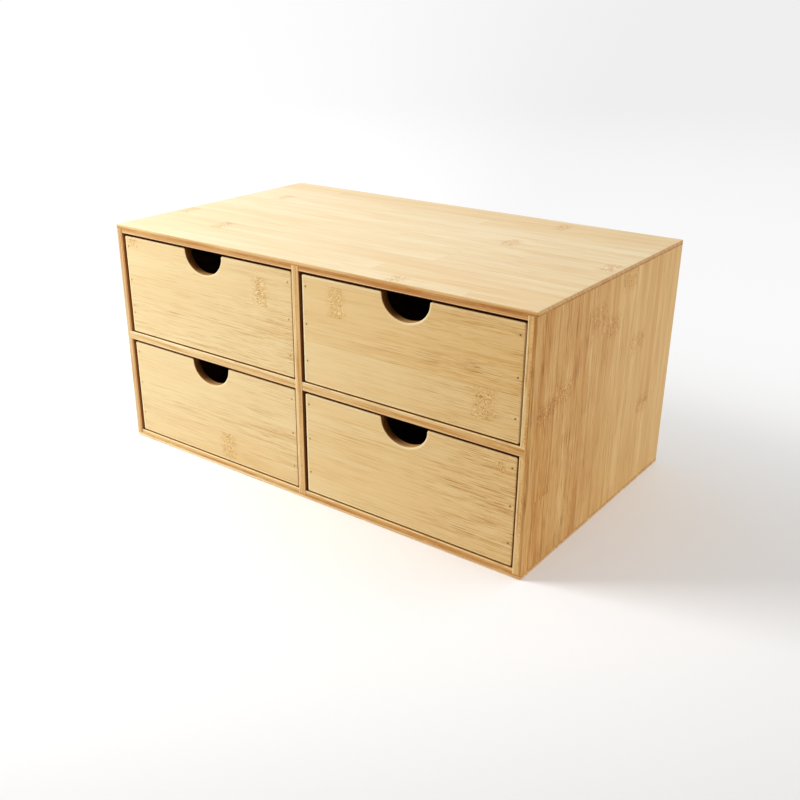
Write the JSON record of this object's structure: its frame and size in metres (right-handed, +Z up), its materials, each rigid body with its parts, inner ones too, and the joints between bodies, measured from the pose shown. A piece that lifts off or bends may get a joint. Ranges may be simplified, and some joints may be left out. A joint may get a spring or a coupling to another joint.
{
  "type": "desktop mini drawers",
  "caption": "Low box-shaped desktop cabinet of light bamboo boards, with loose drawers in a grid that slide out by half-round finger notches.",
  "frame": {"origin": "middle of the underside, on the surface that the cabinet stands on", "axes": "+Z up, the drawer fronts face -Y, +X to the right of someone facing the front"},
  "size_m": [0.35, 0.205, 0.17],
  "materials": {
    "outer_board": "satin laminated bamboo, three-ply edge",
    "inner_board": "satin laminated bamboo, three-ply edge",
    "back_panel": "satin bamboo veneer panel",
    "drawer_front": "satin laminated bamboo, eased edges",
    "drawer_box": "satin laminated bamboo",
    "drawer_floor": "satin bamboo veneer panel",
    "brads": "dull steel wire, set just below the surface"
  },
  "bodies": {
    "cabinet": {"top_board": "outer_board", "bottom_board": "outer_board", "left_side": "outer_board", "right_side": "outer_board", "centre_divider": "inner_board", "shelf": "inner_board", "back_panel": "back_panel", "back_panel_brads": "brads"},
    "upper_left_drawer": {"upper_left_drawer_front": "drawer_front", "upper_left_drawer_left_side": "drawer_box", "upper_left_drawer_right_side": "drawer_box", "upper_left_drawer_back": "drawer_box", "upper_left_drawer_floor": "drawer_floor", "upper_left_drawer_brads": "brads"},
    "upper_right_drawer": {"upper_right_drawer_front": "drawer_front", "upper_right_drawer_left_side": "drawer_box", "upper_right_drawer_right_side": "drawer_box", "upper_right_drawer_back": "drawer_box", "upper_right_drawer_floor": "drawer_floor", "upper_right_drawer_brads": "brads"},
    "lower_left_drawer": {"lower_left_drawer_front": "drawer_front", "lower_left_drawer_left_side": "drawer_box", "lower_left_drawer_right_side": "drawer_box", "lower_left_drawer_back": "drawer_box", "lower_left_drawer_floor": "drawer_floor", "lower_left_drawer_brads": "brads"},
    "lower_right_drawer": {"lower_right_drawer_front": "drawer_front", "lower_right_drawer_left_side": "drawer_box", "lower_right_drawer_right_side": "drawer_box", "lower_right_drawer_back": "drawer_box", "lower_right_drawer_floor": "drawer_floor", "lower_right_drawer_brads": "brads"}
  },
  "joints": [
    {"name": "upper_left_drawer_slide", "type": "slide", "parent": "cabinet", "child": "upper_left_drawer", "axis": [0, -1, 0], "range_m": [0, 0.18]},
    {"name": "upper_right_drawer_slide", "type": "slide", "parent": "cabinet", "child": "upper_right_drawer", "axis": [0, -1, 0], "range_m": [0, 0.18]},
    {"name": "lower_left_drawer_slide", "type": "slide", "parent": "cabinet", "child": "lower_left_drawer", "axis": [0, -1, 0], "range_m": [0, 0.18]},
    {"name": "lower_right_drawer_slide", "type": "slide", "parent": "cabinet", "child": "lower_right_drawer", "axis": [0, -1, 0], "range_m": [0, 0.18]}
  ]
}
